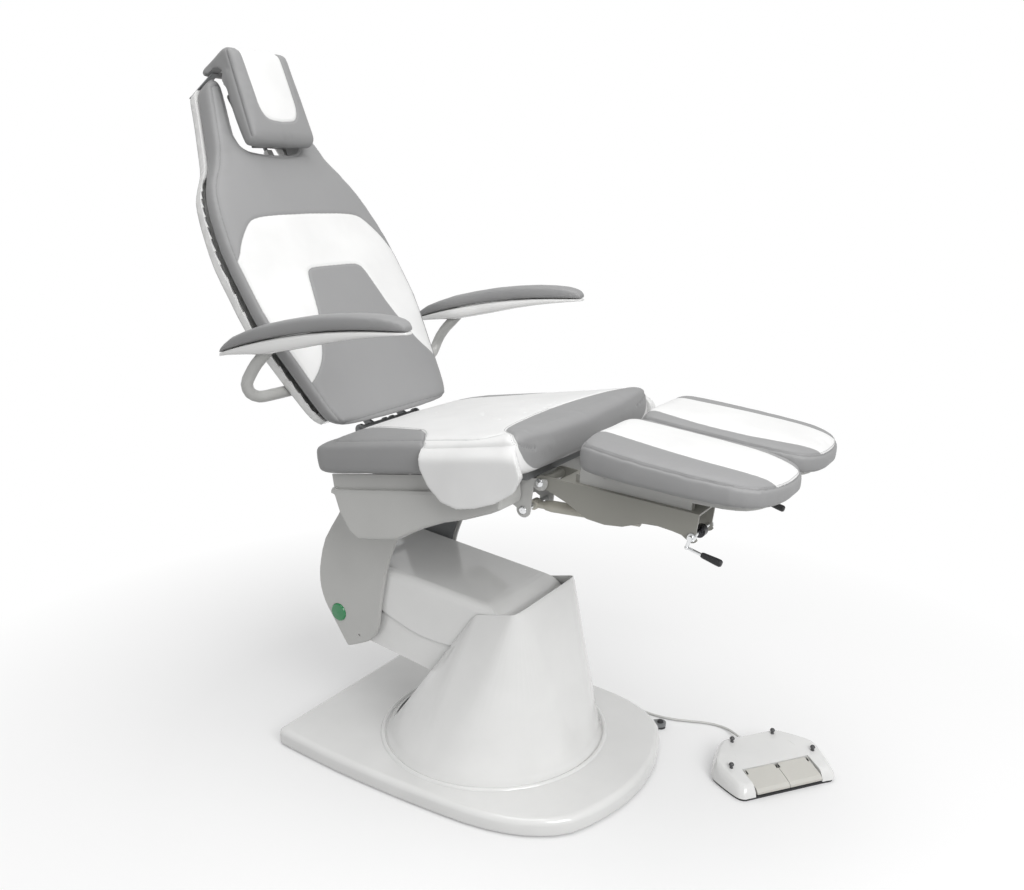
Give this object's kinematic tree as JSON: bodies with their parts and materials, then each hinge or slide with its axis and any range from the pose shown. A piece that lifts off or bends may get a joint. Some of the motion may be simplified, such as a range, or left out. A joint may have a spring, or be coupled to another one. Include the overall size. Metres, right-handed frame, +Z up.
{
  "type": "podiatry chair",
  "caption": "Powered treatment chair with moulded base and column, parallel lift arm, tilting seat, reclining back, folding armrests, split leg rests and a foot control.",
  "frame": {"origin": "on the floor at the axis of the column cover", "axes": "+Z up, -Y toward the front where the leg rests point, +X toward the sitter's left"},
  "size_m": [0.8627, 1.5634, 1.623],
  "materials": {
    "gloss_cover": "gloss moulded cover",
    "painted_panel": "satin powder coat",
    "painted_tube": "satin powder coat",
    "frame_steel": "grey powder coat",
    "chrome": "polished chrome",
    "grey_leather": "matte synthetic leather with fine grain",
    "white_leather": "matte synthetic leather with fine grain",
    "black_rubber": "matte rubber",
    "dark_plastic": "matte",
    "gas_spring_paint": "satin cream paint",
    "rod_steel": "dark hardened rod",
    "pedal_plastic": "beige ribbed plastic",
    "green_lens": "translucent green",
    "cord_plastic": "smooth cord jacket"
  },
  "bodies": {
    "base": {"base_cover": "gloss_cover", "base_frame": "frame_steel", "levelling_feet": "black_rubber", "column_frame": "frame_steel", "column_cover": "gloss_cover", "cord_gland": "black_rubber", "foot_housing": "gloss_cover", "foot_base": "black_rubber", "foot_cord": "cord_plastic"},
    "pedal_left": {"pedal_left": "pedal_plastic"},
    "pedal_right": {"pedal_right": "pedal_plastic"},
    "button_back_left": {"button_back_left": "chrome"},
    "button_back_right": {"button_back_right": "chrome"},
    "button_side_left": {"button_side_left": "chrome"},
    "button_side_right": {"button_side_right": "chrome"},
    "lift_motor": {"lift_motor": "dark_plastic"},
    "lift_rod": {"lift_rod": "chrome"},
    "power_button": {"power_button": "green_lens"},
    "tilt_motor": {"tilt_motor": "dark_plastic"},
    "tilt_rod": {"tilt_rod": "chrome"},
    "back_motor": {"back_motor": "dark_plastic"},
    "back_rod": {"back_rod": "chrome"},
    "lift_arm": {"arm_frame": "frame_steel", "arm_upper_cover": "gloss_cover"},
    "parallel_link": {"link_frame": "frame_steel", "arm_lower_cover": "gloss_cover"},
    "carriage": {"carriage_frame": "frame_steel", "cheek_left": "painted_panel", "cheek_right": "painted_panel"},
    "seat": {"seat_frame": "frame_steel", "seat_undercover": "painted_panel", "seat_cushion": "grey_leather", "seat_flaps": "white_leather", "leg_brackets": "painted_panel", "bracket_bolts": "chrome"},
    "back": {"back_frame": "frame_steel", "back_shell": "gloss_cover", "back_cushion": "grey_leather"},
    "headrest": {"headrest_frame": "frame_steel", "headrest_cushion": "grey_leather"},
    "armrest_left": {"arm_tube_left": "painted_tube", "arm_shell_left": "gloss_cover", "arm_pad_left": "grey_leather"},
    "leg_left": {"leg_frame_left": "painted_panel"},
    "leg_pad_left": {"leg_slide_left": "dark_plastic", "leg_cushion_left": "grey_leather"},
    "gas_spring_left": {"gas_spring_left": "gas_spring_paint"},
    "gas_rod_left": {"gas_rod_left": "rod_steel"},
    "release_left": {"release_lever_left": "chrome", "lever_grip_left": "black_rubber"},
    "armrest_right": {"arm_tube_right": "painted_tube", "arm_shell_right": "gloss_cover", "arm_pad_right": "grey_leather"},
    "leg_right": {"leg_frame_right": "painted_panel"},
    "leg_pad_right": {"leg_slide_right": "dark_plastic", "leg_cushion_right": "grey_leather"},
    "gas_spring_right": {"gas_spring_right": "gas_spring_paint"},
    "gas_rod_right": {"gas_rod_right": "rod_steel"},
    "release_right": {"release_lever_right": "chrome", "lever_grip_right": "black_rubber"}
  },
  "joints": [
    {"name": "pedal_left_press", "type": "hinge", "parent": "base", "child": "pedal_left", "pos_m": [0.20734, -0.63234, 0.033], "axis": [0.7826, -0.6225, 0], "range_deg": [0, 5], "stiffness_Nm_per_rad": 2, "springref_deg": -3.44},
    {"name": "pedal_right_press", "type": "hinge", "parent": "base", "child": "pedal_right", "pos_m": [0.20734, -0.63234, 0.033], "axis": [0.7826, -0.6225, 0], "range_deg": [0, 5], "stiffness_Nm_per_rad": 2, "springref_deg": -3.44},
    {"name": "button_back_left_press", "type": "slide", "parent": "base", "child": "button_back_left", "axis": [0, 0, -1], "range_m": [0, 0.0025], "stiffness_N_per_m": 600, "springref_m": -0.001},
    {"name": "button_back_right_press", "type": "slide", "parent": "base", "child": "button_back_right", "axis": [0, 0, -1], "range_m": [0, 0.0025], "stiffness_N_per_m": 600, "springref_m": -0.001},
    {"name": "button_side_left_press", "type": "slide", "parent": "base", "child": "button_side_left", "axis": [0, 0, -1], "range_m": [0, 0.0025], "stiffness_N_per_m": 600, "springref_m": -0.001},
    {"name": "button_side_right_press", "type": "slide", "parent": "base", "child": "button_side_right", "axis": [0, 0, -1], "range_m": [0, 0.0025], "stiffness_N_per_m": 600, "springref_m": -0.001},
    {"name": "lift_arm_pivot", "type": "hinge", "parent": "base", "child": "lift_arm", "pos_m": [0, -0.04, 0.33], "axis": [1, 0, 0], "range_deg": [-30, 20]},
    {"name": "parallel_link_pivot", "type": "hinge", "parent": "base", "child": "parallel_link", "pos_m": [0, -0.05, 0.235], "axis": [1, 0, 0], "range_deg": [-30, 20]},
    {"name": "lift_motor_pivot", "type": "hinge", "parent": "base", "child": "lift_motor", "pos_m": [0, -0.12, 0.085], "axis": [1, 0, 0], "range_deg": [-8, 6]},
    {"name": "lift_rod_slide", "type": "slide", "parent": "lift_motor", "child": "lift_rod", "axis": [0, 0.6987, 0.7154], "range_m": [-0.065, 0.045]},
    {"name": "carriage_pivot", "type": "hinge", "parent": "lift_arm", "child": "carriage", "pos_m": [0, 0.305, 0.37], "axis": [1, 0, 0], "range_deg": [-20, 30]},
    {"name": "power_button_press", "type": "slide", "parent": "carriage", "child": "power_button", "axis": [1, 0, 0], "range_m": [0, 0.002], "stiffness_N_per_m": 900, "springref_m": -0.001},
    {"name": "seat_tilt", "type": "hinge", "parent": "carriage", "child": "seat", "pos_m": [0, 0.215, 0.64], "axis": [1, 0, 0], "range_deg": [-10, 8.5]},
    {"name": "tilt_motor_pivot", "type": "hinge", "parent": "carriage", "child": "tilt_motor", "pos_m": [0, 0.336, 0.52], "axis": [1, 0, 0], "range_deg": [-4, 5]},
    {"name": "tilt_rod_slide", "type": "slide", "parent": "tilt_motor", "child": "tilt_rod", "axis": [0, -0.9272, 0.3745], "range_m": [-0.012, 0.013]},
    {"name": "back_recline", "type": "hinge", "parent": "seat", "child": "back", "pos_m": [0, 0.298, 0.762], "axis": [1, 0, 0], "range_deg": [-50, 10]},
    {"name": "back_motor_pivot", "type": "hinge", "parent": "seat", "child": "back_motor", "pos_m": [0, -0.015, 0.663], "axis": [1, 0, 0], "range_deg": [-3, 1]},
    {"name": "back_rod_slide", "type": "slide", "parent": "back_motor", "child": "back_rod", "axis": [0, 0.9972, 0.0748], "range_m": [-0.078, 0.02]},
    {"name": "headrest_height", "type": "slide", "parent": "back", "child": "headrest", "axis": [0, 0.5299, 0.848], "range_m": [0, 0.085]},
    {"name": "armrest_left_fold", "type": "hinge", "parent": "back", "child": "armrest_left", "pos_m": [0, 0.4087, 0.8619], "axis": [-1, 0, 0], "range_deg": [0, 95]},
    {"name": "armrest_right_fold", "type": "hinge", "parent": "back", "child": "armrest_right", "pos_m": [0, 0.4087, 0.8619], "axis": [-1, 0, 0], "range_deg": [0, 95]},
    {"name": "leg_left_angle", "type": "hinge", "parent": "seat", "child": "leg_left", "pos_m": [0, -0.23104, 0.73999], "axis": [1, 0, 0], "range_deg": [0, 60]},
    {"name": "leg_pad_left_reach", "type": "slide", "parent": "leg_left", "child": "leg_pad_left", "axis": [0, -0.9978, -0.0658], "range_m": [0, 0.1]},
    {"name": "gas_spring_left_pivot", "type": "hinge", "parent": "seat", "child": "gas_spring_left", "pos_m": [0, -0.19294, 0.67697], "axis": [1, 0, 0], "range_deg": [0, 60]},
    {"name": "gas_rod_left_slide", "type": "slide", "parent": "gas_spring_left", "child": "gas_rod_left", "axis": [0, -0.9996, 0.028], "range_m": [-0.075, 0]},
    {"name": "release_left_pull", "type": "hinge", "parent": "leg_left", "child": "release_left", "pos_m": [0, -0.55104, 0.68699], "axis": [-1, 0, 0], "range_deg": [0, 12], "stiffness_Nm_per_rad": 1.2, "springref_deg": -4.58},
    {"name": "leg_right_angle", "type": "hinge", "parent": "seat", "child": "leg_right", "pos_m": [0, -0.23104, 0.73999], "axis": [1, 0, 0], "range_deg": [0, 60]},
    {"name": "leg_pad_right_reach", "type": "slide", "parent": "leg_right", "child": "leg_pad_right", "axis": [0, -0.9978, -0.0658], "range_m": [0, 0.1]},
    {"name": "gas_spring_right_pivot", "type": "hinge", "parent": "seat", "child": "gas_spring_right", "pos_m": [0, -0.19294, 0.67697], "axis": [1, 0, 0], "range_deg": [0, 60]},
    {"name": "gas_rod_right_slide", "type": "slide", "parent": "gas_spring_right", "child": "gas_rod_right", "axis": [0, -0.9996, 0.028], "range_m": [-0.075, 0]},
    {"name": "release_right_pull", "type": "hinge", "parent": "leg_right", "child": "release_right", "pos_m": [0, -0.55104, 0.68699], "axis": [-1, 0, 0], "range_deg": [0, 12], "stiffness_Nm_per_rad": 1.2, "springref_deg": -4.58}
  ],
  "couplings": [
    {"joint": "parallel_link_pivot", "follows": "lift_arm_pivot", "ratio": 1},
    {"joint": "lift_motor_pivot", "follows": "lift_arm_pivot", "ratio": 0.2111},
    {"joint": "lift_rod_slide", "follows": "lift_arm_pivot", "m_per_rad": 0.1178},
    {"joint": "carriage_pivot", "follows": "lift_arm_pivot", "ratio": -1},
    {"joint": "tilt_motor_pivot", "follows": "seat_tilt", "ratio": -0.3636},
    {"joint": "tilt_rod_slide", "follows": "seat_tilt", "m_per_rad": -0.0667},
    {"joint": "back_motor_pivot", "follows": "back_recline", "ratio": 0.04},
    {"joint": "back_rod_slide", "follows": "back_recline", "m_per_rad": 0.0825},
    {"joint": "gas_spring_left_pivot", "follows": "leg_left_angle", "ratio": 0.97},
    {"joint": "gas_rod_left_slide", "follows": "leg_left_angle", "m_per_rad": -0.0685},
    {"joint": "gas_spring_right_pivot", "follows": "leg_right_angle", "ratio": 0.97},
    {"joint": "gas_rod_right_slide", "follows": "leg_right_angle", "m_per_rad": -0.0685}
  ]
}
